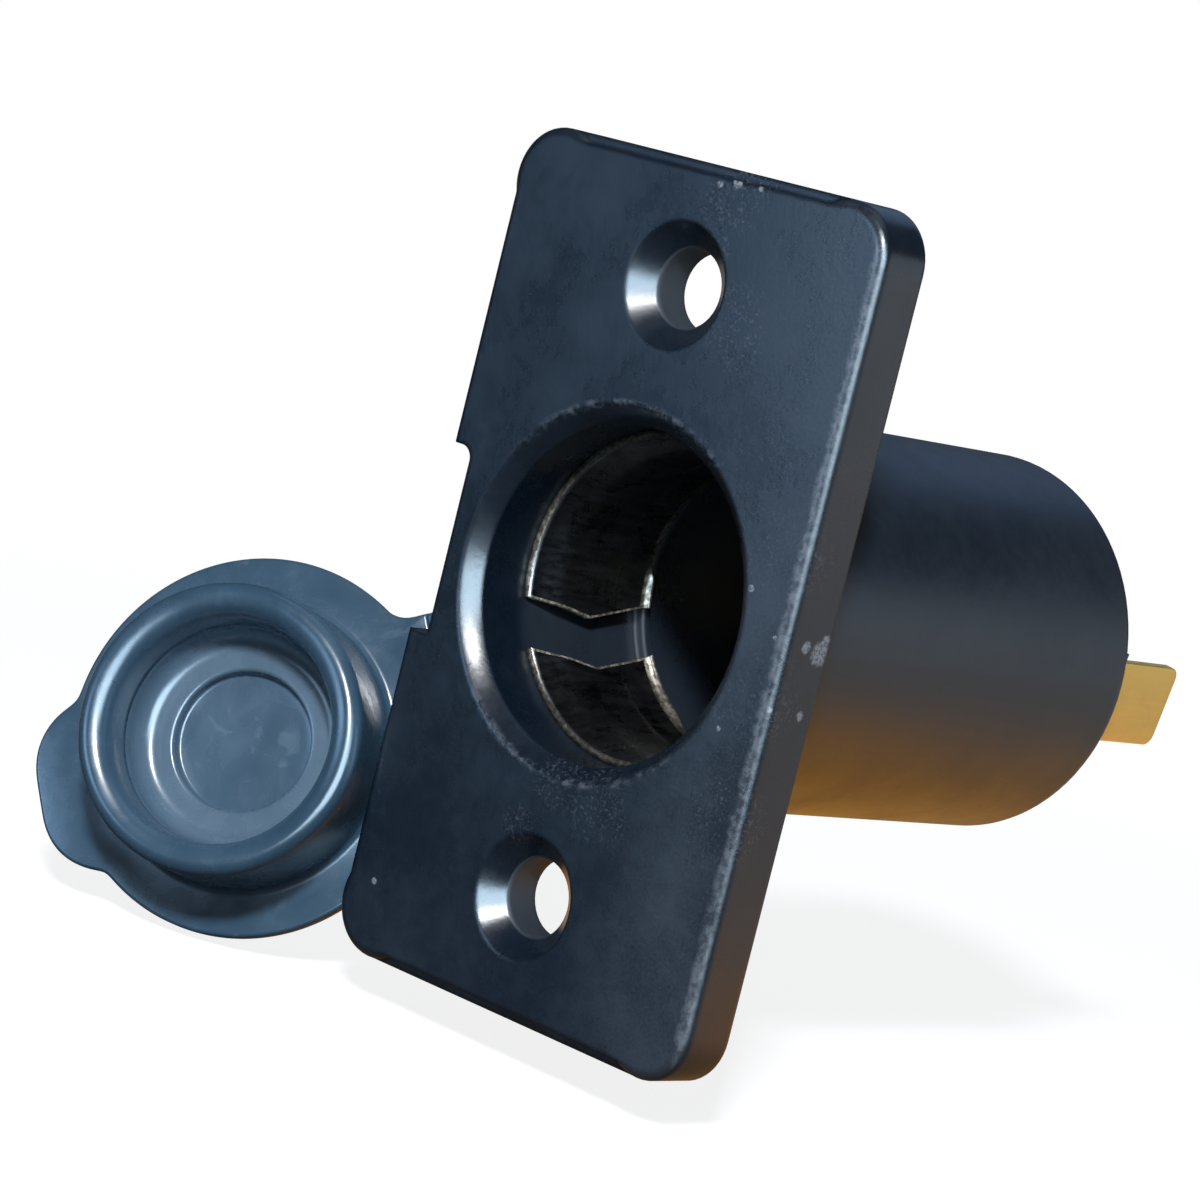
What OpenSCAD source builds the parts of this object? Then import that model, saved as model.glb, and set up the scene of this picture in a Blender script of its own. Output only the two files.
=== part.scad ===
// Flush 12 V accessory socket: a moulded screw-on plate with a barrel behind it, a rolled ground contact,
// a riveted centre contact and a soft cap that hangs open on its strap.
// X runs to the right across the plate, Y goes into the panel and Z is up.
// The origin is on the bore's axis, in the plane of the plate's back, where the panel's face lies.

/* [Plate] */
// Width of the plate
plate_w = 34; // [34:0.5:44]
// Height of the plate
plate_h = 60; // [58:0.5:80]
// Thickness of the plate
plate_t = 4.3; // [3.8:0.1:6]
// Radius of the plate's corners
corner_r = 3.8; // [1.5:0.1:6]
// Rounding of the plate's front edge
edge_r = 0.7; // [0.2:0.1:1.2]
// Distance between the two screw holes
screw_spacing = 43; // [42:0.5:50]
// Diameter of a screw hole
screw_d = 5.5; // [3.5:0.1:6]
// Width of the countersink round a screw hole
sink_w = 1.65; // [0.8:0.05:2.4]
// Depth of the strap's notch from the plate's left edge
notch_depth = 2.4; // [1.5:0.1:3]

/* [Barrel] */
// Thickness of the barrel's wall round the mouth
barrel_wall = 2.3; // [1.8:0.1:3]
// Length of the barrel behind the plate
barrel_l = 39.5; // [37:0.5:50]
// Rounding of the barrel's rear edge
rear_r = 1.4; // [0.4:0.1:2]
// Width of the bevel round the mouth
mouth_bevel = 1.2; // [0.4:0.1:1.6]
// Width of the ledge behind the ground contact
ledge_w = 0.8; // [0.5:0.1:1.2]
// Thickness of the barrel's closed end
floor_t = 3; // [2:0.1:4]

/* [Ground contact] */
// Inner diameter of the sleeve, which a standard plug slides into
sleeve_d = 21.2; // [21:0.1:21.6]
// Thickness of the contact's sheet
sheet_t = 0.5; // [0.3:0.05:0.6]
// Depth of the sleeve's front edge behind the plate's back
sleeve_y = 1.1; // [0.5:0.1:3]
// Length of the sleeve
sleeve_l = 11.8; // [9:0.1:16]
// How far the sleeve widens towards the mouth
flare_w = 0.65; // [0.3:0.05:0.9]
// Length of the sleeve's flare
flare_l = 3.4; // [2:0.1:5]
// Width of the sleeve's slit
slit_w = 3.6; // [2:0.1:5]
// How far the slit bends to the side halfway along
slit_bend = 1.2; // [0.3:0.1:2]
// Width of the terminal blades
blade_w = 6.3; // [4.8:0.1:6.6]
// Thickness of the terminal blades
blade_t = 0.8; // [0.5:0.1:0.9]
// Reach of the terminal blades behind the barrel
blade_l = 9.5; // [7:0.5:14]

/* [Centre contact] */
// Width of the contact leaf
leaf_w = 5.6; // [4:0.1:6.4]
// Height of the leaf's crest over the barrel's floor
leaf_h = 2.8; // [2:0.1:4]
// Distance of the rivet below the bore's axis
rivet_drop = 6; // [5:0.1:6.4]
// Diameter of the rivet's shank
rivet_d = 3.2; // [2:0.1:3.4]

/* [Cap] */
// Width of the flange that lies on the plate round the bevel
flange_w = 1.1; // [0.6:0.1:2]
// Thickness of the flange
flange_t = 1.2; // [0.9:0.1:2]
// Space between the plug and the mouth round it
plug_play = 1.1; // [0.9:0.1:1.6]
// Height of the plug over the flange
plug_h = 7.6; // [6:0.1:8]
// Thickness of the plug's wall at its tip
plug_wall = 2.3; // [1.6:0.1:3]
// Depth of the plug's hollow
hollow_depth = 5.8; // [4:0.1:7]
// Diameter of the sunk disc in the hollow's floor
disc_d = 10.4; // [6:0.2:12]
// Depth of the sunk disc
disc_depth = 1; // [0.3:0.1:1.4]
// Reach of the thumb tab beyond the flange
tab_out = 2.5; // [1.5:0.1:5]
// Width of the strap and of the thumb tab
strap_w = 13; // [9:0.1:13]
// Radius of the hollow corners between the strap and the flange
strap_blend = 2; // [0.5:0.1:3]
// Thickness of the strap and of its ring
strap_t = 1; // [0.8:0.1:1.2]
// Width of the ring round the barrel
ring_w = 1.4; // [1:0.1:1.6]
// Angle by which the cap stands open
open_angle = 152; // [148:0.5:154]
// Angle by which the strap hangs below the notch
droop_angle = 32.8; // [31:0.1:35]

/* [Hidden] */
$fn = 96;

plastic = [0.13, 0.17, 0.22];
soft_plastic = [0.22, 0.32, 0.42];
brass_colour = [0.72, 0.55, 0.28];

// Clearances
eps = 0.01;
slip = 0.05;        // between a piece and the hole that it passes through
turn_gap = 0.1;     // between the ring and the barrel that it turns on
seat_gap = 0.05;    // between a loose piece and the face that it lies on
side_gap = 0.3;     // beside a loose piece that moves

sleeve_r = sleeve_d / 2;
mouth_r = sleeve_r + flare_w + sheet_t + slip;
bore_r = mouth_r - ledge_w;
barrel_r = mouth_r + barrel_wall;
rim_r = mouth_r + mouth_bevel;
floor_y = barrel_l - floor_t;
sleeve_end = sleeve_y + sleeve_l;
shoulder_y = sleeve_end + side_gap;

// The ground blade turns this much below the middle of the right side
blade_drop = 8;
neck_w = blade_w - 0.9;
tail_x = sleeve_r;
blade_end = barrel_l + blade_l;
blade_cut = 1.2;
collar_h = 0.8;
collar_wall = 1;
// The slit faces the plate's left edge, this much below the middle
slit_below = 25.8;

rivet_r = rivet_d / 2;
rivet_head_r = rivet_r + 1.1;
rivet_head_t = 0.7;

ring_r = barrel_r + turn_gap + ring_w;
recess_r = ring_r + side_gap;
recess_depth = strap_t + 3 * seat_gap;
ring_y = seat_gap - recess_depth;
notch_h = strap_w + 2 * side_gap;
notch_x = -plate_w / 2 + notch_depth;
// The recess lets the strap hang a little lower than at rest
recess_swing = droop_angle + 8;

cap_r = rim_r + flange_w;
cap_tongue = cap_r + 0.8;
plug_r = mouth_r - plug_play;
tip_r = 1;
lip_r = plug_r - plug_wall;
hollow_floor = plug_h - hollow_depth;
hollow_r = lip_r - 0.9;
disc_r = disc_d / 2;
disc_floor = hollow_floor - disc_depth;
tab_corner = 4;
tab_reach = cap_r + tab_out;
flange_y = -plate_t - seat_gap;

// The cap folds about a line between the plate's left edge and the flange
fold_x = -(plate_w / 2 + cap_r + 4.2) / 2;
fold_y = 0.36;

// Where the open cap has a point of the closed cap, seen from above
function opened(p) = let(c = cos(open_angle), s = sin(open_angle), x = p[0] - fold_x, y = p[1] - fold_y)
    [fold_x + x * c + y * s, fold_y - x * s + y * c];
// A point of a cubic curve
function curve(a, b, c, d, t) =
    pow(1 - t, 3) * a + 3 * pow(1 - t, 2) * t * b + 3 * (1 - t) * t * t * c + pow(t, 3) * d;
function unit(v) = v / norm(v);
function turned(d) = [-d[1], d[0]];
// The outline of a strip of thickness t along points p, which leaves along first and arrives along last
function side(p, i, first, last) =
    i == 0 ? turned(first) : i == len(p) - 1 ? turned(last) : turned(unit(p[i + 1] - p[i - 1]));
function strip(p, t, first, last) = concat(
    [for (i = [0:len(p) - 1]) p[i] + side(p, i, first, last) * t / 2],
    [for (i = [len(p) - 1:-1:0]) p[i] - side(p, i, first, last) * t / 2]);
// The outline of a blade's end with its corners cut, from y to the tip
function blade_tip(y) = [[-blade_w / 2, y], [blade_w / 2, y],
    [blade_w / 2, blade_end - blade_cut], [blade_w / 2 - blade_cut, blade_end],
    [-blade_w / 2 + blade_cut, blade_end], [-blade_w / 2, blade_end - blade_cut]];

// Turns a shape built along Z so that it runs along the bore
module into_panel() rotate([-90, 0, 0]) children();
// Turns an outline built in the XY plane so that it faces the user
module facing() rotate([90, 0, 0]) children();
// Turns a shape to the ground blade's side of the bore
module at_blade() rotate([0, blade_drop, 0]) children();
// Moves a shape from the closed cap's place to the hanging one's
module hanging() rotate([0, -droop_angle, 0]) children();
module open_cap()
    translate([fold_x, fold_y, 0]) rotate([0, 0, -open_angle]) translate([-fold_x, -fold_y, 0]) children();

// A rectangle with round corners
module round_rect(w, h, r) {
    square([w - 2 * r, h], center = true);
    square([w, h - 2 * r], center = true);
    for (x = [-1, 1], y = [-1, 1]) translate([x * (w / 2 - r), y * (h / 2 - r)]) circle(r);
}

// The plate with its front edges rounded
module plate() {
    x = plate_w / 2 - corner_r;
    z = plate_h / 2 - corner_r;
    facing() {
        linear_extrude(plate_t - edge_r) round_rect(plate_w, plate_h, corner_r);
        linear_extrude(plate_t) round_rect(plate_w - 2 * edge_r, plate_h - 2 * edge_r, corner_r - edge_r);
        translate([0, 0, plate_t - edge_r]) {
            for (i = [-1, 1], k = [-1, 1]) translate([i * x, k * z, 0])
                rotate_extrude() translate([corner_r - edge_r, 0]) circle(edge_r);
            for (i = [-1, 1]) {
                translate([i * (plate_w / 2 - edge_r), 0, 0]) rotate([90, 0, 0])
                    cylinder(h = 2 * z, r = edge_r, center = true);
                translate([0, i * (plate_h / 2 - edge_r), 0]) rotate([0, 90, 0])
                    cylinder(h = 2 * x, r = edge_r, center = true);
            }
        }
    }
}

module barrel() {
    into_panel() rotate_extrude() {
        translate([0, -recess_depth - 1]) square([barrel_r, recess_depth + 1 + barrel_l - rear_r]);
        square([barrel_r - rear_r, barrel_l]);
        translate([barrel_r - rear_r, barrel_l - rear_r]) circle(rear_r);
    }
}

// A raised collar round the ground blade's slot in the barrel's end
module blade_collar() {
    at_blade() translate([tail_x - collar_wall, barrel_l - 1, -blade_w / 2 - collar_wall])
        cube([blade_t + 2 * collar_wall, 1 + collar_h, blade_w + 2 * collar_wall]);
}

module screw_hole() {
    facing() {
        translate([0, 0, -eps]) cylinder(h = plate_t + 2 * eps, d = screw_d);
        translate([0, 0, plate_t - sink_w])
            cylinder(h = sink_w + eps, r1 = screw_d / 2, r2 = screw_d / 2 + sink_w + eps);
    }
}

// The mouth with its rounded bevel, the narrower bore behind it and the rivet's hole
module socket_bore() {
    bulge = 0.6;
    into_panel() {
        translate([0, 0, -plate_t - eps]) cylinder(h = plate_t + shoulder_y + eps, r = mouth_r);
        translate([0, 0, -plate_t]) rotate_extrude() polygon(concat([[0, -1], [rim_r, -1]],
            [for (a = [0:15:90]) [rim_r - mouth_bevel * (bulge * sin(a) + (1 - bulge) * (1 - cos(a))),
                mouth_bevel * (bulge * (1 - cos(a)) + (1 - bulge) * sin(a))]], [[0, mouth_bevel]]));
        cylinder(h = floor_y, r = bore_r);
        translate([0, rivet_drop, floor_y - eps]) cylinder(h = floor_t + 2 * eps, r = rivet_r + slip);
    }
}

// The way for the ground blade, along the bore's wall and out through the end
module blade_way() {
    at_blade() translate([tail_x - slip, shoulder_y - eps, -blade_w / 2 - slip])
        cube([blade_t + 2 * slip, barrel_l, blade_w + 2 * slip]);
}

// The notch in the left edge, with its upper corner rounded
module strap_notch() {
    round_r = 1;
    facing() translate([0, 0, -eps]) linear_extrude(plate_t + 2 * eps) {
        translate([-plate_w, -notch_h / 2]) square([notch_x + plate_w, notch_h - round_r]);
        translate([-plate_w, -notch_h / 2]) square([notch_x + plate_w - round_r, notch_h]);
        translate([notch_x - round_r, notch_h / 2 - round_r]) circle(round_r);
    }
}

// The recess in the plate's back for the ring, open to the left edge over the strap's swing
module strap_recess() {
    translate([0, -recess_depth, 0]) into_panel() linear_extrude(recess_depth + eps) difference() {
        union() {
            circle(recess_r);
            for (a = [0, recess_swing / 3, recess_swing * 2 / 3, recess_swing]) rotate(-a)
                translate([-plate_w - barrel_r, -notch_h / 2]) square([plate_w + barrel_r, notch_h]);
        }
        circle(barrel_r);
    }
}

module socket_body() {
    color(plastic) difference() {
        union() {
            difference() {
                plate();
                strap_recess();
            }
            barrel();
            blade_collar();
        }
        socket_bore();
        blade_way();
        strap_notch();
        for (s = [-1, 1]) translate([0, 0, s * screw_spacing / 2]) screw_hole();
    }
}

// The sleeve's slit, bent halfway along
module sleeve_slit() {
    half = slit_w / 2;
    middle = slit_bend / 2;
    y0 = sleeve_y;
    rotate([0, -slit_below, 0]) translate([-4, 0, 0]) rotate([0, -90, 0]) linear_extrude(mouth_r) polygon([
        [middle + half, y0 - 1], [middle + half, y0], [-middle + half, y0 + sleeve_l / 2],
        [middle + half, y0 + sleeve_l], [middle + half, y0 + sleeve_l + 1],
        [middle - half, y0 + sleeve_l + 1], [middle - half, y0 + sleeve_l],
        [-middle - half, y0 + sleeve_l / 2], [middle - half, y0], [middle - half, y0 - 1]]);
}

module ground_contact() {
    lip = 0.6;
    front_r = sleeve_r + flare_w;
    color(brass_colour) {
        difference() {
            into_panel() rotate_extrude() polygon([
                [front_r, sleeve_y],
                [front_r + sheet_t, sleeve_y],
                [front_r + sheet_t, sleeve_y + lip],
                [sleeve_r + sheet_t, sleeve_y + flare_l],
                [sleeve_r + sheet_t, sleeve_end],
                [sleeve_r, sleeve_end],
                [sleeve_r, sleeve_y + flare_l]]);
            sleeve_slit();
        }
        ground_tail();
    }
}

// The strip that runs on from the sleeve as a narrow neck and then as the ground blade
module ground_tail() {
    start = sleeve_end - 1.5;
    at_blade() translate([tail_x + blade_t, 0, 0]) rotate([0, -90, 0]) linear_extrude(blade_t) {
        polygon([[-neck_w / 2, start], [neck_w / 2, start],
            [neck_w / 2, shoulder_y + side_gap], [-neck_w / 2, shoulder_y + side_gap]]);
        polygon(blade_tip(shoulder_y + side_gap));
    }
}

// The leaf that the plug's tip presses on: a riveted foot, a rise, a round crest and a free end
module centre_contact() {
    foot = rivet_head_r + 0.6;
    crest_r = 1.8;
    crest_y = floor_y - leaf_h;
    foot_y = floor_y - sheet_t / 2;
    line = concat(
        [[-rivet_drop - foot, foot_y], [-rivet_drop + foot, foot_y]],
        [for (a = [-40:10:40]) [crest_r * sin(a), crest_y + crest_r - crest_r * cos(a)]],
        [[rivet_drop - 1, floor_y - sheet_t - side_gap]]);
    color(brass_colour) difference() {
        translate([-leaf_w / 2, 0, 0]) rotate([90, 0, 90]) linear_extrude(leaf_w)
            polygon([for (p = strip(line, sheet_t, [1, 0], unit([1, 0.5]))) [p[1], p[0]]]);
        translate([0, floor_y - 1, -rivet_drop]) into_panel() cylinder(h = 2, r = rivet_r + slip);
    }
}

// A tubular rivet: a flat head over the leaf and a rolled end over the positive blade's foot
module contact_rivet() {
    head_y = floor_y - sheet_t;
    roll_y = barrel_l + blade_t;
    hole_r = rivet_r / 2;
    color(brass_colour) translate([0, 0, -rivet_drop]) into_panel() rotate_extrude() difference() {
        union() {
            translate([0, head_y - rivet_head_t]) square([rivet_head_r, rivet_head_t]);
            translate([0, head_y - eps]) square([rivet_r, roll_y - head_y + 2 * eps]);
            translate([0, roll_y]) square([rivet_head_r, rivet_head_t]);
        }
        translate([-eps, roll_y - 1.5]) square([hole_r + eps, 3]);
    }
}

// A foot under the rivet, bent up into a blade that stands parallel to the ground blade
module positive_blade() {
    foot = rivet_head_r + 0.6;
    color(brass_colour) difference() {
        union() {
            translate([-foot - blade_t, barrel_l, -rivet_drop - blade_w / 2]) cube([2 * foot + blade_t, blade_t, blade_w]);
            translate([-foot, 0, -rivet_drop]) rotate([0, -90, 0]) linear_extrude(blade_t) polygon(blade_tip(barrel_l));
        }
        translate([0, barrel_l - eps, -rivet_drop]) into_panel() cylinder(h = blade_t + 2 * eps, r = rivet_r + slip);
    }
}

// The ring round the barrel, with the strap's root
module strap_ring() {
    color(soft_plastic) translate([0, ring_y, 0]) hanging() into_panel() linear_extrude(strap_t) difference() {
        union() {
            circle(ring_r);
            translate([-recess_r, -strap_w / 2]) square([recess_r, strap_w]);
        }
        circle(barrel_r + turn_gap);
    }
}

// The strap runs out behind the plate's edge and bends forward into the flange
module cap_strap() {
    root = [-recess_r, ring_y + strap_t / 2];
    edge = opened([-cap_tongue, flange_y - flange_t / 2]);
    toward = unit(opened([0, 0]) - opened([-1, 0]));
    steps = 16;
    line = [for (i = [0:steps]) curve(root, root + [-2.6, 0.9], edge - toward * 3.4, edge, i / steps)];
    color(soft_plastic) hanging() linear_extrude(strap_w, center = true)
        polygon(strip(line, strap_t, [-1, 0], toward));
}

// The hollow corner between a circle round the origin and a strip that runs out to the left
module hollow_corner(r, half, blend) {
    centre = [-sqrt(pow(r + blend, 2) - pow(half + blend, 2)), half + blend];
    difference() {
        polygon([[0, 0], centre, [centre[0], 0]]);
        translate(centre) circle(blend);
    }
}

// The flange with the thumb tab and the strap's end
module cap_outline() {
    circle(cap_r);
    translate([-cap_tongue, -strap_w / 2]) square([cap_tongue, strap_w]);
    for (m = [0, 1]) mirror([0, m]) hollow_corner(cap_r, strap_w / 2, strap_blend);
    translate([0, -strap_w / 2]) square([tab_reach - tab_corner, strap_w]);
    for (s = [-1, 1]) translate([tab_reach - tab_corner, s * (strap_w / 2 - tab_corner)]) circle(tab_corner);
    translate([0, -strap_w / 2 + tab_corner]) square([tab_reach, strap_w - 2 * tab_corner]);
}

// Half of the plug's section: a round tip that slopes into a tapered hollow with a sunk disc in its floor
module plug_section() {
    polygon(concat([[0, 0], [plug_r, 0]],
        [for (a = [0:15:90]) [plug_r - tip_r + tip_r * cos(a), plug_h - tip_r + tip_r * sin(a)]],
        [[lip_r + 0.5, plug_h - 0.15], [lip_r, plug_h - 0.8], [hollow_r, hollow_floor],
        [disc_r, hollow_floor], [disc_r, disc_floor], [0, disc_floor]]));
}

module cap() {
    color(soft_plastic) hanging() open_cap() translate([0, flange_y, 0]) into_panel() {
        translate([0, 0, -flange_t]) linear_extrude(flange_t) cap_outline();
        rotate_extrude() plug_section();
    }
}

socket_body();
ground_contact();
centre_contact();
contact_rivet();
positive_blade();
strap_ring();
cap_strap();
cap();
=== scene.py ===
import math
import bpy
import bmesh
from mathutils import Matrix, Vector


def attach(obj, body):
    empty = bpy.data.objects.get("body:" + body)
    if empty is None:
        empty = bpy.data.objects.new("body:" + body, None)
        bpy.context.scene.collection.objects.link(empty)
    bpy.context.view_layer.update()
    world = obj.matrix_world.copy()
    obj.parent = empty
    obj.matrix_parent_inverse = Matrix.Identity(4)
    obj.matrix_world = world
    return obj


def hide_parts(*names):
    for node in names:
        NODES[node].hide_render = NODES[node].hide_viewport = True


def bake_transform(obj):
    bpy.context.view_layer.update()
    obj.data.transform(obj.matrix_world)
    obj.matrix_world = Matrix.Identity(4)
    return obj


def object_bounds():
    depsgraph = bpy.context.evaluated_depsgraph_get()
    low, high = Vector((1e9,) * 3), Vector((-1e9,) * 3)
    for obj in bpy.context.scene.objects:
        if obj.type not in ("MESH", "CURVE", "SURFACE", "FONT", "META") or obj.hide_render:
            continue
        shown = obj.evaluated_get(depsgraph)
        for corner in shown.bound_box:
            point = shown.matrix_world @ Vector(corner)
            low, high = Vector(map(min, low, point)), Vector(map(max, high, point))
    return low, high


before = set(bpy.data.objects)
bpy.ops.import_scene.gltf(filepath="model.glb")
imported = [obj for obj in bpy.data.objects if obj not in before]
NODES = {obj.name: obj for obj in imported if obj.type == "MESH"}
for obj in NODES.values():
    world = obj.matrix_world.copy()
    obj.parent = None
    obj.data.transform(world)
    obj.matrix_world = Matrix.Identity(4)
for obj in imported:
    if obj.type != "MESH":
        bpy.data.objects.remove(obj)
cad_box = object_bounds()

MM = 0.001

# Sizes from the part's source, in millimetres

PLATE_W, PLATE_T = 34.0, 4.3
SCREW_Z = 21.5
SLEEVE_R, SHEET, FLARE, FLARE_L = 10.6, 0.5, 0.65, 3.4
SLEEVE_Y, SLEEVE_L = 1.1, 11.8
SLIT_W, SLIT_BEND, SLIT_BELOW = 3.6, 1.2, 25.8
BARREL_L, BLADE_W, BLADE_T, BLADE_L, BLADE_DROP = 39.5, 6.3, 0.8, 9.5, 8.0
MOUTH_R = SLEEVE_R + FLARE + SHEET + 0.05
RIM_R = MOUTH_R + 1.2
BARREL_R = MOUTH_R + 2.3
RING_R = BARREL_R + 0.1 + 1.4
ROOT_R = RING_R + 0.3
STRAP_W, STRAP_T = 13.0, 1.0
RING_Y = 0.05 - (STRAP_T + 0.15)
CAP_R = RIM_R + 1.1
TONGUE = CAP_R + 0.8
PLUG_R, PLUG_H = MOUTH_R - 1.1, 7.6
FLANGE_T = 1.2
FLANGE_Y = -PLATE_T - 0.05
OPEN, DROOP = math.radians(152.0), math.radians(32.8)
FOLD = (-(PLATE_W / 2 + CAP_R + 4.2) / 2, 0.36)

# The middle of the cap's hollow floor at rest, and the way the plug points
HOLLOW = (-29.28, -4.92, -18.87)
PLUG_AXIS = (0.3946, -0.8830, 0.2543)

# Colours, in linear red, green and blue

WHITE = (1.0, 1.0, 1.0)
PLASTIC = (0.0041, 0.0116, 0.0250), (0.0058, 0.0146, 0.0305)
# The socket's pale colour: rubbed wear, and painted highlight, sheen and light
PALE_WEAR_AND_PAINTED_LIGHT = (0.33, 0.38, 0.44)
CAP_BLUE = (0.036, 0.088, 0.148), (0.054, 0.122, 0.200)
CAP_BLOOM = (0.20, 0.30, 0.40)
BLADE_BRASS = (0.95, 0.66, 0.20), (0.80, 0.52, 0.15)
SLEEVE_BRASS = (0.20, 0.20, 0.21), (0.10, 0.096, 0.092)
# The sleeve's cut edges: dull, and pale as wear and a painted highlight
BURR_DULL, BURR_WORN_AND_GLINT = (0.030, 0.026, 0.020), (0.62, 0.57, 0.47)
FLOOR_PALE = (0.29, 0.31, 0.33), (0.31, 0.33, 0.35)
FLOOR_BOUNCE = (0.07, 0.075, 0.08)
# Colours of the floor's glow seen only in reflections, a painted reflection
FLOOR_WARM_GLOW, FLOOR_GREY_GLOW = (1.0, 0.44, 0.055), (0.40, 0.36, 0.32)

# Worn places on the socket: where each lies and how far it reaches, in millimetres

CHIPS = (((17.0, -0.7, 0.6), 1.05), ((17.0, -0.3, 1.3), 0.7), ((17.0, -2.3, 0.9), 0.5),
         ((17.0, -1.2, -3.7), 0.45), ((15.86, -4.3, 1.1), 0.22), ((16.8, -4.2, -3.5), 0.3),
         ((13.1, -4.3, -5.8), 0.22), ((-13.9, -4.3, -24.6), 0.3), ((12.9, -4.3, 3.7), 0.3),
         ((3.3, -4.3, 29.2), 0.5), ((5.4, -4.2, 29.2), 0.3), ((1.8, -4.3, 28.8), 0.3))
SCUFFS = (((3.5, -4.3, 28.4), 3.6), ((6.5, -4.3, 20.0), 4.2), ((4.4, -4.3, -13.6), 3.6),
          ((0.2, -4.3, -13.2), 2.4), ((-2.2, -4.3, -16.9), 1.7), ((14.2, -4.3, 6.0), 4.5),
          ((14.0, -4.3, -3.0), 4.5), ((14.5, -4.3, -12.0), 4.0), ((3.0, -4.3, 24.6), 1.6))


# Materials

class Mat:
    """A node material with short calls for its nodes. A value is a number, a colour or a socket."""

    def __init__(self, name):
        self.m = bpy.data.materials.new(name)
        self.m.use_nodes = True
        self.nt = self.m.node_tree
        self.shader = self.nt.nodes["Principled BSDF"]
        self.obj = self.node("TexCoord").outputs["Object"]
        split = self.node("SeparateXYZ", Vector=self.obj)
        self.x, self.y, self.z = split.outputs

    def put(self, socket, v):
        if hasattr(v, "is_linked"):
            self.nt.links.new(v, socket)
        elif socket.type == "RGBA":
            socket.default_value = (*v, 1.0)
        else:
            socket.default_value = v

    def fill(self, node, ins):
        for k, v in ins.items():
            self.put(node.inputs[k.replace("_", " ")], v)

    def node(self, kind, **ins):
        n = self.nt.nodes.new("ShaderNode" + kind)
        self.fill(n, ins)
        return n

    def set(self, **ins):
        self.fill(self.shader, ins)

    def math(self, op, *values, clamp=False):
        n = self.node("Math")
        n.operation = op
        n.use_clamp = clamp
        for socket, v in zip(n.inputs, values):
            self.put(socket, v)
        return n.outputs[0]

    def plus(self, *values):
        return self.fold("ADD", values)

    def times(self, *values):
        return self.fold("MULTIPLY", values)

    def most(self, *values):
        return self.fold("MAXIMUM", values)

    def fold(self, op, values):
        s = values[0]
        for v in values[1:]:
            s = self.math(op, s, v)
        return s

    def weigh(self, a, part_a, b, part_b):
        return self.math("MULTIPLY_ADD", a, part_a, self.math("MULTIPLY", b, part_b))

    def length(self, *values):
        return self.math("SQRT", self.plus(*[self.math("MULTIPLY", v, v) for v in values]))

    def noise(self, scale, detail=3.0, rough=0.5, distort=0.0, at=None):
        n = self.node("TexNoise", Vector=at or self.obj, Scale=scale, Detail=detail, Roughness=rough,
                      Distortion=distort)
        return n.outputs["Fac"]

    def stretched(self, factor):
        return self.node("Mapping", Vector=self.obj, Scale=factor).outputs[0]

    def ramp(self, v, lo, hi, a=0.0, b=1.0):
        """Goes smoothly from a at lo to b at hi."""
        n = self.node("MapRange")
        n.interpolation_type = "SMOOTHSTEP"
        n.clamp = True
        self.fill(n, {"Value": v, "From Min": lo, "From Max": hi, "To Min": a, "To Max": b})
        return n.outputs["Result"]

    def over(self, v, lo, hi, a=0.0, b=1.0):
        """The same along a length, with lo and hi in millimetres."""
        return self.ramp(v, lo * MM, hi * MM, a, b)

    def under(self, v, lo, hi):
        """1 below lo and 0 above hi, both in millimetres."""
        return self.over(v, lo, hi, 1.0, 0.0)

    def mix(self, f, a, b):
        n = self.node("Mix")
        n.data_type = "RGBA"
        colour_a, colour_b, result = 6, 7, 2
        self.put(n.inputs[0], f)
        self.put(n.inputs[colour_a], a)
        self.put(n.inputs[colour_b], b)
        return n.outputs[result]

    def away(self, p):
        """How far from a point of the object, which is in millimetres."""
        return self.length(*[self.math("SUBTRACT", v, c * MM) for v, c in zip((self.x, self.y, self.z), p)])

    def patches(self, places, noise, spread=0.5):
        """1 near the places and 0 beyond their reach, with a border made ragged by the noise."""
        found = []
        for p, r in places:
            d = self.math("MULTIPLY_ADD", noise, r * MM * spread * 2, self.away(p))
            d = self.math("SUBTRACT", d, r * MM * spread)
            found.append(self.under(d, r * 0.55, r))
        return self.most(*found)

    def bump(self, height, strength, distance, normal=None):
        n = self.node("Bump", Height=height, Strength=strength, Distance=distance)
        if normal is not None:
            self.put(n.inputs["Normal"], normal)
        return n.outputs["Normal"]

    def soft_edge(self, radius):
        n = self.node("Bevel", Radius=radius)
        n.samples = 6
        return n.outputs["Normal"]


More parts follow.
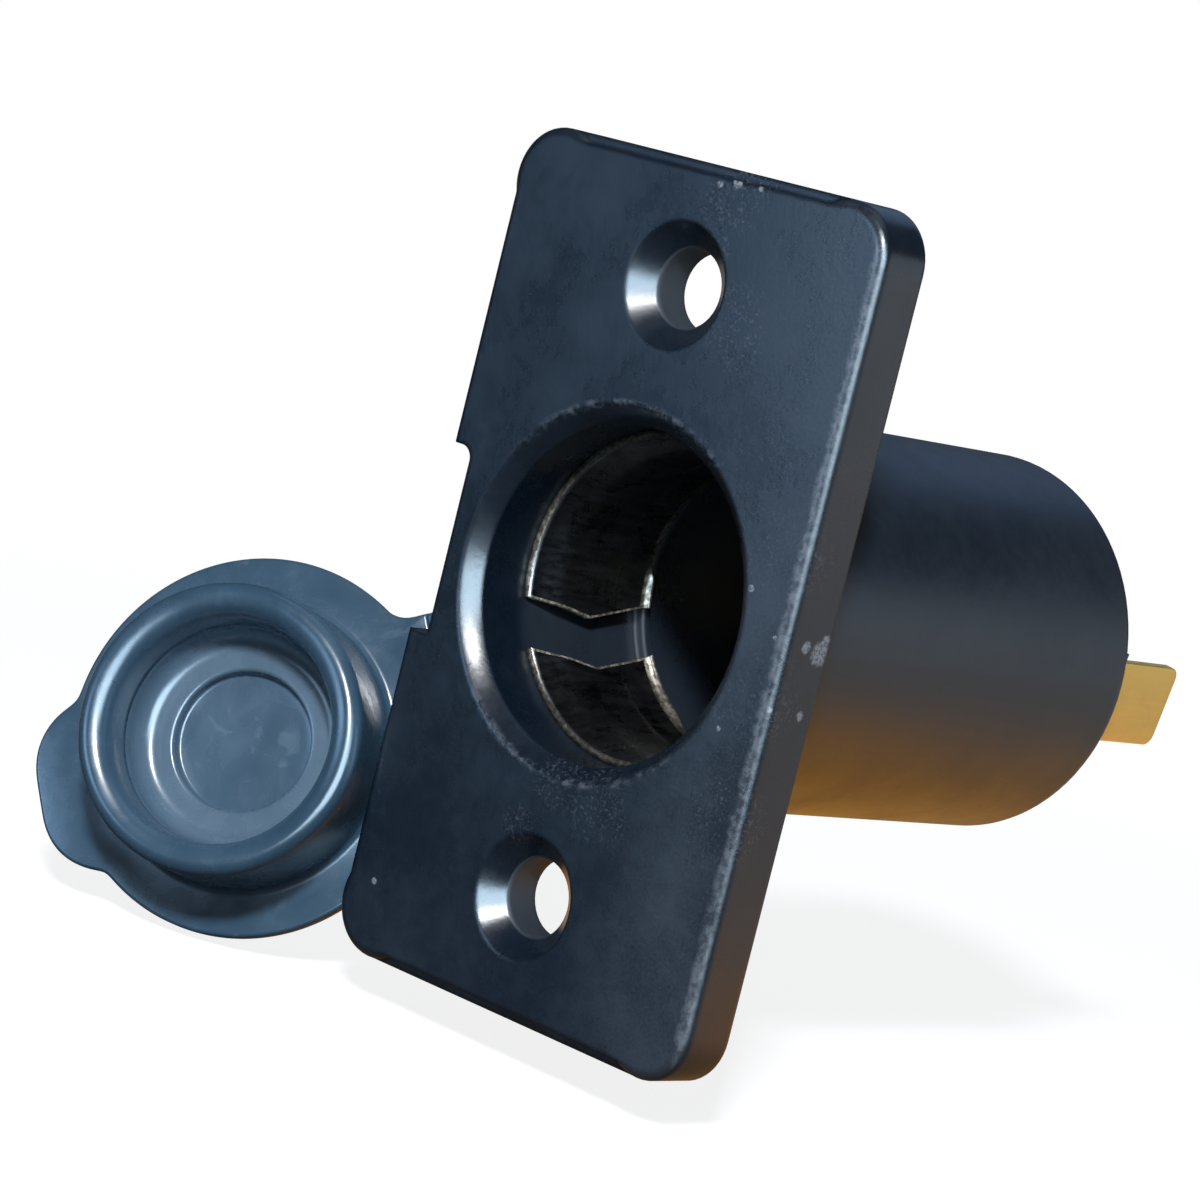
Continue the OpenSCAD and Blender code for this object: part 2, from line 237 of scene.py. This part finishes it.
def socket_material():
    """Dark satin moulding with a fine grain, pale edges that are partly rubbed wear and partly painted highlight,
    small pale scuffs, a painted sheen and painted light in the bore.
    """
    m = Mat("socket_satin")
    r = m.length(m.x, m.z)
    blotch = m.noise(110, 4, 0.6)
    speck = m.noise(4200, 2, 0.6)
    ragged = m.noise(1500, 4, 0.7)
    mottle = m.noise(1000, 5, 0.68)
    colour = m.mix(m.ramp(m.weigh(blotch, 0.5, mottle, 0.5), 0.38, 0.64), *PLASTIC)
    # Pale lines along the right front edge and the rim's outer edge below and above: partly rubbed wear, partly a
    # painted highlight of the rounded edges
    face = m.under(m.y, -PLATE_T + 0.1, -PLATE_T + 0.4)
    right = m.times(m.over(m.x, PLATE_W / 2 - 1.4, PLATE_W / 2 - 0.65),
                    m.under(m.y, -PLATE_T + 0.05, -PLATE_T + 0.35), m.ramp(ragged, 0.38, 0.64, 0.10, 0.46))
    rim = m.times(m.over(r, RIM_R - 0.5, RIM_R - 0.05), m.under(r, RIM_R + 0.05, RIM_R + 0.5),
                  m.over(m.math("ABSOLUTE", m.z), 6.0, 12.0), face, m.ramp(ragged, 0.42, 0.66, 0.0, 0.34))
    chips = m.times(m.patches(CHIPS, ragged), m.ramp(speck, 0.38, 0.56, 0.3, 1.0))
    scuffs = m.times(m.patches(SCUFFS, blotch, 0.8),
                     m.ramp(m.weigh(ragged, 0.3, speck, 0.7), 0.50, 0.66, 0.0, 0.20))
    # Painted sheen: the face paler, with a fine grain, towards the plate's right edge
    painted_sheen = m.times(m.over(m.x, 2.0, 15.0), face,
                   m.ramp(m.weigh(speck, 0.5, blotch, 0.5), 0.38, 0.62, 0.035, 0.095))
    # Painted light: paler in the bore beside the sleeve, but not on the dull ledge behind it
    bore = m.times(m.under(r, MOUTH_R + 0.1, MOUTH_R + 0.4), m.over(m.y, 0.0, 2.0))
    ledge = m.times(bore, m.over(m.y, 12.8, 13.0), m.under(m.y, 13.5, 14.0))
    painted_bore_light = m.math("SUBTRACT", m.times(bore, 0.055), m.times(ledge, 0.055), clamp=True)
    marks = m.math("MAXIMUM", m.most(right, rim), m.most(scuffs, chips), clamp=True)
    pale = m.most(marks, painted_sheen, painted_bore_light)
    # The barrel and the screw holes' walls are duller than the plate
    rough = m.ramp(m.plus(blotch, m.times(pale, 0.4)), 0.3, 0.9, 0.24, 0.42)
    shade = m.ramp(mottle, 0.34, 0.66, -0.015, 0.020)
    barrel = m.times(m.over(r, BARREL_R - 0.9, BARREL_R - 0.5), m.over(m.y, 0.2, 1.0, 0.0, 0.12))
    off_hole = m.length(m.x, m.math("SUBTRACT", m.math("ABSOLUTE", m.z), SCREW_Z * MM))
    dull = m.most(m.times(ledge, 0.35), m.over(off_hole, 2.8, 2.95, 0.45, 0.0))
    grain = m.weigh(m.noise(3200, 2, 0.5), 0.5, ragged, 0.7)
    m.set(Base_Color=m.mix(pale, colour, PALE_WEAR_AND_PAINTED_LIGHT), Roughness=m.plus(rough, shade, barrel, dull),
          Specular_IOR_Level=0.95, Normal=m.bump(grain, 0.10, 0.00010, m.soft_edge(0.00045)))
    return m.m


def brass_material(name, colours, tarnish, rough):
    """Sheet brass with drawing lines and a thin tarnish."""
    m = Mat(name)
    cloud = m.noise(420, 5, 0.65, 0.6)
    fine = m.noise(2400, 3, 0.6, at=m.stretched((1, 0.12, 1)))
    m.set(Base_Color=m.mix(m.ramp(cloud, 0.42, 0.68, 0.0, tarnish), *colours), Metallic=1.0,
          Roughness=m.ramp(m.weigh(cloud, 0.6, fine, 0.4), 0.3, 0.7, rough - 0.07, rough + 0.13),
          Normal=m.bump(fine, 0.08, 0.00005, m.soft_edge(0.00008)))
    return m.m


def burr_material():
    """The sleeve's cut edges, pale in dots near its slit, partly wear and partly a painted highlight of edges
    catching light, and dull elsewhere.
    """
    m = Mat("sleeve_burr")
    dots = m.ramp(m.noise(2600, 2, 0.6), 0.40, 0.62, 0.25, 1.0)
    cloud = m.noise(700, 4, 0.6)
    by_slit = m.times(m.over(m.z, 0.5, 6.0, 1.0, 0.22), m.over(m.z, -9.0, -6.5, 0.25, 1.0))
    # Paler near the slit: wear and a painted highlight
    worn_and_glint = m.times(by_slit, dots, m.ramp(cloud, 0.3, 0.6, 0.5, 1.0))
    m.set(Base_Color=m.mix(worn_and_glint, BURR_DULL, BURR_WORN_AND_GLINT), Metallic=0.45,
          Roughness=m.ramp(cloud, 0.3, 0.7, 0.28, 0.45), Normal=m.bump(dots, 0.10, 0.00005))
    return m.m


def cap_material():
    """Soft satin plastic with a bluish bloom and smudges."""
    m = Mat("cap_soft")
    cloud = m.noise(90, 4, 0.6, 0.4)
    smear = m.noise(240, 5, 0.7, 1.2)
    fine = m.noise(1400, 3, 0.6)
    # Paler on the hollow's floor around the sunk disc, with a few smudges on the disc
    d = m.away(HOLLOW)
    height = m.plus(*[m.math("MULTIPLY_ADD", v, n, -n * c * MM)
                      for v, c, n in zip((m.x, m.y, m.z), HOLLOW, PLUG_AXIS)])
    inside = m.over(height, -1.2, -0.6)
    ring = m.times(m.under(d, 7.6, 9.4), m.over(d, 4.95, 5.35, 0.3, 1.0), inside)
    smudge = m.times(m.under(d, 3.6, 4.8), inside, m.ramp(m.noise(520, 2, 0.5, 0.8), 0.60, 0.68, 0.0, 0.35))
    bloom = m.times(m.ramp(smear, 0.58, 0.74), 0.25)
    bloom = m.math("MAXIMUM", bloom, m.most(m.times(ring, 0.42), smudge), clamp=True)
    m.set(Base_Color=m.mix(bloom, m.mix(m.ramp(cloud, 0.3, 0.7), *CAP_BLUE), CAP_BLOOM),
          Roughness=m.ramp(m.weigh(cloud, 0.5, smear, 0.5), 0.3, 0.75, 0.20, 0.36),
          Specular_IOR_Level=0.90, Normal=m.bump(m.math("MULTIPLY_ADD", fine, 0.4, cloud), 0.06, 0.00025))
    return m.m


SOCKET = socket_material()
BRASS = brass_material("blade_brass", BLADE_BRASS, 0.35, 0.42)
SLEEVE = brass_material("sleeve_brass", SLEEVE_BRASS, 0.9, 0.28)
BURR = burr_material()
CAP = cap_material()


def dress(node, mat):
    o = NODES[node]
    if not o.material_slots:
        o.data.materials.append(mat)
    for s in o.material_slots:
        s.link = "OBJECT"
        s.material = mat


for node, mat in (("socket_body", SOCKET), ("centre_contact", BRASS), ("contact_rivet", BRASS),
                  ("positive_blade", BRASS), ("strap_ring", CAP)):
    dress(node, mat)

# Pieces in place of the plain nodes, built in millimetres


def hang(p):
    """A point of the strap's own frame, turned down to where the strap hangs."""
    x, y, z = p
    c, s = math.cos(DROOP), math.sin(DROOP)
    return (x * c - z * s, y, x * s + z * c)


def opened(x, y):
    """Where the open cap has a point of the closed cap, seen from above."""
    c, s = math.cos(OPEN), math.sin(OPEN)
    dx, dy = x - FOLD[0], y - FOLD[1]
    return FOLD[0] + dx * c + dy * s, FOLD[1] - dx * s + dy * c


def cap_point(u, v, h):
    """A point of the cap: u towards the thumb tab, v along its width, h out along the plug."""
    x, y = opened(u, FLANGE_Y + h)
    return hang((x, y, -v))


def mesh_piece(name, points, faces, mats, second=()):
    """A smooth piece with the first material, and the second one on the faces given."""
    me = bpy.data.meshes.new(name)
    me.from_pydata([tuple(c * MM for c in p) for p in points], [], faces)
    for i in second:
        me.polygons[i].material_index = 1
    bm = bmesh.new()
    bm.from_mesh(me)
    bmesh.ops.remove_doubles(bm, verts=bm.verts, dist=1e-7)
    bmesh.ops.recalc_face_normals(bm, faces=bm.faces)
    bm.to_mesh(me)
    bm.free()
    me.polygons.foreach_set("use_smooth", [True] * len(me.polygons))
    for mat in mats:
        me.materials.append(mat)
    o = bpy.data.objects.new(name, me)
    bpy.context.scene.collection.objects.link(o)
    return o


def grid(rows, cols, wrap_rows=False, wrap_cols=False):
    """Faces between rows of points."""
    faces = []
    for i in range(rows if wrap_rows else rows - 1):
        for j in range(cols if wrap_cols else cols - 1):
            i2, j2 = (i + 1) % rows, (j + 1) % cols
            faces.append((i * cols + j, i * cols + j2, i2 * cols + j2, i2 * cols + j))
    return faces


def arc(cx, cy, r, a0, a1, n):
    """Points of an arc from a0 to a1 degrees, both ends in."""
    return [(cx + r * math.cos(math.radians(a0 + (a1 - a0) * i / n)),
             cy + r * math.sin(math.radians(a0 + (a1 - a0) * i / n))) for i in range(n + 1)]


# The cap: one moulding with a round-tipped hollow plug, a flange, a thumb tab and the strap's end

TAB, CORNER, BLEND = CAP_R + 2.5, 4.9, 2.4


def tab_reach(c, s):
    """How far the thumb tab, a square with round corners, lies in a direction."""
    best = CAP_R
    for r in [CAP_R + 0.02 * k for k in range(160)]:
        qx, qy = max(r * c - (TAB - CORNER), 0.0), max(r * s - (STRAP_W / 2 - CORNER), 0.0)
        if math.hypot(qx, qy) <= CORNER:
            best = max(best, r)
    return best


def tongue_reach(c, s):
    """How far the tongue that the strap starts from lies, with a hollow corner to the flange."""
    half = STRAP_W / 2
    if s < 1e-9 or half / s > TONGUE / -c:
        return max(CAP_R, TONGUE / -c)
    best = max(CAP_R, half / s)
    fx, fy = -math.sqrt((CAP_R + BLEND) ** 2 - (half + BLEND) ** 2), half + BLEND
    if math.atan2(half, -fx) < math.atan2(s, -c) < math.atan2(fy, -fx):
        b = fx * c + fy * s
        k = b * b - (fx * fx + fy * fy - BLEND * BLEND)
        if k > 0:
            best = max(best, min(b - math.sqrt(k), TONGUE / -c))
    return best


def flange_reach(phi):
    """How far the flange's outline lies from the plug's axis in direction phi."""
    c, s = math.cos(phi), abs(math.sin(phi))
    return tab_reach(c, s) if c > 0 else tongue_reach(c, s)


def cap_outline():
    """The directions round the flange and its reach in each, softened on the thumb tab's side."""
    full, step, span, width = 2 * math.pi, 0.004, 6, 2.6
    corner = math.pi - math.atan2(STRAP_W / 2, TONGUE)
    angles = [full * i / 360 for i in range(360)]
    angles = sorted(set(angles + [corner, full - corner, corner - step, full - corner + step]))
    reach = [flange_reach(a) for a in angles]
    n = len(angles)
    w = [math.exp(-(k / width) ** 2) for k in range(-span, span + 1)]
    soft = list(reach)
    for i, a in enumerate(angles):
        if math.cos(a) > 0.15:
            soft[i] = sum(w[k + span] * reach[(i + k) % n] for k in range(-span, span + 1)) / sum(w)
    return angles, soft


def plug_section():
    """The cap's section from the hollow's middle over the plug's lip down to the flange, as radius and height."""
    floor_h, disc_h, disc_r, wall_r, lip_r = 1.8, 0.85, 5.2, 7.5, 8.35
    tip, foot = 1.0, 0.55
    line = [(0.02, disc_h), (2.2, disc_h), (4.2, disc_h)]
    line += arc(disc_r - 0.25, disc_h + 0.25, 0.25, -90, 0, 3)
    line += arc(disc_r + 0.3, floor_h - 0.3, 0.3, 180, 90, 4)
    line += [(6.2, floor_h + 0.01)]
    # A wide fillet into the hollow's wall
    line += [(wall_r - 0.9 + 1.5 * math.sin(t), floor_h + 2.0 * (1 - math.cos(t)))
             for t in (math.pi / 2 * k / 8 for k in range(9))]
    # A fine crease, the wall and the inner half of the lip
    line += [(wall_r + 0.66, 3.86), (wall_r + 0.72, 3.94), (wall_r + 0.64, 4.03),
             (lip_r - 0.16, 4.5), (lip_r - 0.1, 5.8), (lip_r - 0.02, 6.45),
             (lip_r + 0.12, 6.9), (lip_r + 0.38, 7.25), (lip_r + 0.75, 7.47)]
    line += arc(PLUG_R - tip, PLUG_H - tip, tip, 96, 0, 9)
    line += [(PLUG_R, 4.4), (PLUG_R, 2.4)]
    line += arc(PLUG_R + foot, foot, foot, 180, 270, 4)
    return line, disc_h, PLUG_R + foot


def cap_shell():
    line, disc_h, foot_r = plug_section()
    top_round, low_round = 0.28, 0.35
    rows = []
    for a, far in zip(*cap_outline()):
        c, s = math.cos(a), math.sin(a)
        mid = (foot_r + far) / 2
        section = line + [(mid, 0.0)]
        section += arc(far - top_round, -top_round, top_round, 90, 0, 4)
        section += arc(far - low_round, -FLANGE_T + low_round, low_round, 0, -90, 4)
        section += [(mid, -FLANGE_T), (6.0, -FLANGE_T), (2.0, -FLANGE_T), (0.02, -FLANGE_T)]
        rows.append([cap_point(r * c, r * s, h) for r, h in section])
    n, k = len(rows), len(rows[0])
    points = [p for row in rows for p in row]
    faces = grid(n, k, wrap_rows=True)
    top, low = len(points), len(points) + 1
    points += [cap_point(0, 0, disc_h), cap_point(0, 0, -FLANGE_T)]
    for i in range(n):
        j = (i + 1) % n
        faces.append((i * k, j * k, top))
        faces.append((j * k + k - 1, i * k + k - 1, low))
    return mesh_piece("cap_shell", points, faces, [CAP])


cap_piece = cap_shell()
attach(cap_piece, "cap")
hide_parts("cap")


# The strap: a rounded band swept from the ring's root, forward into the flange

def curve(a, b, c, d, t):
    """A point of a cubic curve."""
    return tuple((1 - t) ** 3 * a[i] + 3 * (1 - t) ** 2 * t * b[i] + 3 * (1 - t) * t * t * c[i] + t ** 3 * d[i]
                 for i in range(len(a)))


def band_ring(thick):
    """The band's section with rounded edges, as places along its width and out from its middle."""
    half, edge = STRAP_W / 2, 0.3
    ring = []
    for side, face, a0 in ((1, 1, 0), (-1, 1, 90), (-1, -1, 180), (1, -1, 270)):
        ring += arc(side * (half - edge), face * (thick - edge), edge, a0, a0 + 90, 4)
        if side == face:
            ring += [(half * f, face * thick) for f in (0.6 * side, 0.2 * side, -0.2 * side, -0.6 * side)]
    return ring


def strap_band():
    root = (-ROOT_R, RING_Y + STRAP_T / 2)
    end = opened(-TONGUE, FLANGE_Y - FLANGE_T / 2)
    o0, o1 = opened(0, 0), opened(-1, 0)
    toward = (o0[0] - o1[0], o0[1] - o1[1])
    ctrl = (root, (root[0] - 2.6, root[1] + 0.9), (end[0] - toward[0] * 3.4, end[1] - toward[1] * 3.4), end)
    steps, near = 40, 0.01
    points = []
    for i in range(steps + 1):
        t = i / steps
        p = curve(*ctrl, t)
        q0, q1 = curve(*ctrl, max(t - near, 0)), curve(*ctrl, min(t + near, 1))
        d = (q1[0] - q0[0], q1[1] - q0[1])
        k = math.hypot(*d)
        d = (-1.0, 0.0) if i == 0 else (d[0] / k, d[1] / k)
        normal = (-d[1], d[0])
        ring = band_ring((STRAP_T + (FLANGE_T - STRAP_T) * t * t) / 2)
        points += [hang((p[0] + normal[0] * out, p[1] + normal[1] * out, along)) for along, out in ring]
    m = len(points) // (steps + 1)
    faces = grid(steps + 1, m, wrap_cols=True)
    faces += [tuple(range(m))[::-1], tuple(range(steps * m, steps * m + m))]
    o = mesh_piece("strap_band", points, faces, [CAP])
    return o, hang((*curve(*ctrl, 0.06), 0)), hang((*curve(*ctrl, 0.94), 0))


band, band_start, band_end = strap_band()
tuple(c * MM for c in band_start)
tuple(c * MM for c in band_end)
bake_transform(band)
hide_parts("cap_strap")


# The ground contact: rolled sheet with a bent slit, a flared front edge and a turned-in rear edge

# How far the rear edge turns in beside the slit, at each y
TURNED = ((12.32, 0.02), (12.5, 0.09), (12.65, 0.22), (12.76, 0.38), (SLEEVE_Y + SLEEVE_L - 0.06, 0.56))


def soft_step(none, full, v):
    """Goes smoothly from 0 at none to 1 at full."""
    t = min(max((v - none) / (full - none), 0.0), 1.0)
    return t * t * (3 - 2 * t)


def sleeve_profile():
    """The sleeve's inner face from front to rear, as y and radius, with a groove near the rear."""
    line = []
    for i in range(9):
        t = i / 8
        line.append((SLEEVE_Y + FLARE_L * t, SLEEVE_R + FLARE * (1 - t) ** 2 * (1 + 2 * t)))
    for y, groove in ((5.6, 0), (SLEEVE_Y + SLEEVE_L / 2, 0), (8.6, 0), (9.5, 0), (9.62, 0.045), (9.74, 0),
                      (11.2, 0), *((y, 0) for y, d in TURNED)):
        line.append((y, SLEEVE_R + groove))
    return line


def sleeve():
    """Points and faces of the rolled sheet, and which faces are cut or turned edges."""
    half, bend = SLIT_W / 2, SLIT_BEND / 2
    profile = sleeve_profile()
    first = len(profile) - len(TURNED)
    cols, edge_cols, finer = 150, 4, 0.9
    roll_in, roll_reach, roll_scale = 0.10, 0.25, 0.3
    # The turned edge fades between these degrees above and below the slit
    fade_above, fade_below = (17, 11), (38, 30)
    inner, outer = [], []
    for i, (y, r) in enumerate(profile):
        f = abs((y - SLEEVE_Y) / (SLEEVE_L / 2) - 1)
        m = bend * (2 * f - 1)
        up = math.radians(SLIT_BELOW) - math.asin((half + m) / r)
        low = math.radians(SLIT_BELOW) + math.asin((half - m) / r) - 2 * math.pi
        for k in range(cols + 1):
            t = k / cols
            # Finer towards both edges of the slit
            t = t - finer * math.sin(2 * math.pi * t) / (2 * math.pi)
            a = up + (low - up) * t
            c, s = -math.cos(a), -math.sin(a)
            roll = roll_in * math.exp(-min(t, 1 - t) * 2 * math.pi * r / roll_reach)
            if i >= first:
                above, below = math.degrees(up - a), math.degrees(a - low)
                beside = max(soft_step(*fade_above, above), soft_step(*fade_below, below))
                roll -= TURNED[i - first][1] * beside / roll_scale
            move = roll * roll_scale
            back = SHEET - move if i < first else SHEET + move
            inner.append(((r + move) * c, y, (r + move) * s))
            outer.append(((r + back) * c, y, (r + back) * s))
    n, w = len(profile), cols + 1
    off = len(inner)
    faces = grid(n, w)
    burr = {f for f in range(len(faces))
            if f % cols < edge_cols or f % cols >= cols - edge_cols or f // cols >= first}
    faces += [tuple(off + v for v in f[::-1]) for f in grid(n, w)]
    cut = len(faces)
    for k in range(cols):
        b = (n - 1) * w
        faces.append((k, k + 1, off + k + 1, off + k))
        faces.append((b + k + 1, b + k, off + b + k, off + b + k + 1))
    for i in range(n - 1):
        a, b = i * w, (i + 1) * w
        faces.append((b, a, off + a, off + b))
        faces.append((a + cols, b + cols, off + b + cols, off + a + cols))
    burr |= set(range(cut, len(faces)))
    return inner + outer, faces, burr


def bar(outline, lift, thick, place, bevel):
    """A flat sheet piece with softened edges: its outline is in (along, across)."""
    n = len(outline)
    bm = bmesh.new()
    low = [bm.verts.new((a, b, lift)) for a, b in outline]
    top = [bm.verts.new((a, b, lift + thick)) for a, b in outline]
    bm.faces.new(low[::-1])
    bm.faces.new(top)
    for i in range(n):
        j = (i + 1) % n
        bm.faces.new((low[i], low[j], top[j], top[i]))
    bmesh.ops.recalc_face_normals(bm, faces=bm.faces)
    bmesh.ops.bevel(bm, geom=list(bm.edges), offset=bevel, segments=2, affect="EDGES", profile=0.6)
    bm.verts.index_update()
    points = [place(*v.co) for v in bm.verts]
    faces = [tuple(v.index for v in f.verts) for f in bm.faces]
    bm.free()
    return points, faces


def ground_contact():
    points, faces, burr = sleeve()
    end = SLEEVE_Y + SLEEVE_L
    start, turn, tip = end - 1.3, end + 0.6, BARREL_L + BLADE_L
    neck, half, r, shoulder = (BLADE_W - 0.9) / 2, BLADE_W / 2, 0.9, 0.3
    outline = [(start, -neck), (turn, -neck), (turn + shoulder, -half)]
    outline += arc(tip - r, -half + r, r, -90, 0, 5) + arc(tip - r, half - r, r, 0, 90, 5)
    outline += [(turn + shoulder, half), (turn, neck), (start, neck)]
    c, s = math.cos(math.radians(BLADE_DROP)), math.sin(math.radians(BLADE_DROP))

    def place(y, z, x):
        return (x * c + z * s, y, -x * s + z * c)

    more, cells = bar(outline, SLEEVE_R, BLADE_T, place, 0.1)
    off = len(points)
    faces = faces + [tuple(off + v for v in f) for f in cells]
    o = mesh_piece("ground_sheet", points + more, faces, [SLEEVE, BURR, BRASS], burr)
    # The tail is bright brass behind the sleeve
    for f in o.data.polygons:
        if f.center.y > turn * MM:
            f.material_index = 2
    return o


ground = ground_contact()
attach(ground, "socket")
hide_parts("ground_contact")

# Floor

FLOOR_Z = cad_box[0][2] - 0.0004


def floor_material():
    m = Mat("floor_pale")
    path = m.node("LightPath").outputs
    seen = path["Is Camera Ray"]
    # The floor throws little light back on the part
    m.set(Base_Color=m.mix(seen, FLOOR_BOUNCE, m.mix(m.noise(8, 3), *FLOOR_PALE)), Roughness=0.9,
          Specular_IOR_Level=0.1)
    glow = m.node("Emission", Color=WHITE, Strength=m.times(seen, 0.85))
    # Behind the part the floor glows in the part's gloss only, a painted reflection, warm below the barrel
    warm = m.mix(m.over(m.away((0, 35, FLOOR_Z / MM)), 12, 100), FLOOR_WARM_GLOW, FLOOR_GREY_GLOW)
    behind = m.times(path["Is Glossy Ray"], m.over(m.y, -12, 30))
    below = m.node("Emission", Color=warm, Strength=behind)
    both = m.node("AddShader")
    m.put(both.inputs[0], glow.outputs[0])
    m.put(both.inputs[1], below.outputs[0])
    near = m.node("AddShader")
    m.put(near.inputs[0], m.shader.outputs[0])
    m.put(near.inputs[1], both.outputs[0])
    # Far from the part the floor is as white as the background
    away = m.times(m.over(m.length(m.x, m.y), 110, 240), seen)
    white = m.node("Emission", Color=WHITE, Strength=1.0)
    blend = m.node("MixShader", Fac=away)
    m.put(blend.inputs[1], near.outputs[0])
    m.put(blend.inputs[2], white.outputs[0])
    m.put(m.nt.nodes["Material Output"].inputs["Surface"], blend.outputs[0])
    return m.m


def floor():
    n, half = 24, 2.2
    line = [-half + 2 * half * i / n for i in range(n + 1)]
    me = bpy.data.meshes.new("floor")
    me.from_pydata([(x, y, FLOOR_Z) for y in line for x in line], [], grid(n + 1, n + 1))
    o = bpy.data.objects.new("floor", me)
    bpy.context.scene.collection.objects.link(o)
    me.materials.append(floor_material())


floor()


# Light and camera

def lamp(name, at, size, power, colour):
    d = bpy.data.lights.new(name, "AREA")
    d.shape = "RECTANGLE"
    d.size, d.size_y = size
    d.energy = power
    d.color = colour
    o = bpy.data.objects.new(name, d)
    bpy.context.scene.collection.objects.link(o)
    o.location = at
    o.rotation_euler = (-Vector(at)).to_track_quat("-Z", "Y").to_euler()
    return o


lamp("key", (0.38, -0.54, 0.46), (0.09, 0.09), 5.8, (0.97, 0.98, 1.0))
lamp("sky", (0.05, 0.10, 0.80), (0.6, 0.6), 0.5, (0.85, 0.93, 1.0))
# Soft panels that the satin plastic shows as highlights and that cast no second shadow
panels = [lamp("side", (0.56, -0.53, 0.17), (0.60, 0.44), 10.2, (0.62, 0.83, 1.0)),
          lamp("front", (-0.24, -0.60, 0.04), (0.28, 0.15), 0.82, (0.42, 0.67, 1.0)),
          lamp("back", (0.50, 0.57, 0.11), (0.80, 0.28), 0.44, (0.80, 0.90, 1.0)),
          lamp("over", (-0.32, 0.62, 0.46), (0.50, 0.40), 0.28, (0.35, 0.58, 1.0))]
for panel in panels:
    panel.visible_diffuse = False
    panel.visible_camera = False


def surroundings():
    """White to the camera, and a dim light to all else."""
    world = bpy.data.worlds.new("world")
    bpy.context.scene.world = world
    world.use_nodes = True
    nodes, links = world.node_tree.nodes, world.node_tree.links
    path = nodes.new("ShaderNodeLightPath").outputs
    seen = nodes.new("ShaderNodeMath")
    seen.operation = "MAXIMUM"
    links.new(path["Is Camera Ray"], seen.inputs[0])
    links.new(path["Is Transmission Ray"], seen.inputs[1])
    level = nodes.new("ShaderNodeMapRange")
    dim, full = 0.04, 1.0
    level.inputs["To Min"].default_value = dim
    level.inputs["To Max"].default_value = full
    links.new(seen.outputs[0], level.inputs["Value"])
    sky = nodes["Background"]
    sky.inputs["Color"].default_value = (*WHITE, 1.0)
    links.new(level.outputs["Result"], sky.inputs["Strength"])


def camera():
    """The camera fitted to the photograph."""
    cam = bpy.data.cameras.new("camera")
    cam.sensor_width = 36.0
    cam.lens = 125.97
    cam.clip_start, cam.clip_end = 0.01, 10.0
    eye = bpy.data.objects.new("camera", cam)
    bpy.context.scene.collection.objects.link(eye)
    at = (0.186761, -0.217016, 0.030852)
    right = Vector((0.712459, 0.659607, 0.239418))
    ahead = Vector((-0.655161, 0.747480, -0.109715))
    axes = Matrix((right, right.cross(ahead), -ahead)).transposed().to_4x4()
    eye.matrix_world = Matrix.Translation(at) @ axes
    bpy.context.scene.camera = eye


surroundings()
camera()
bpy.context.scene.view_settings.view_transform = "Standard"
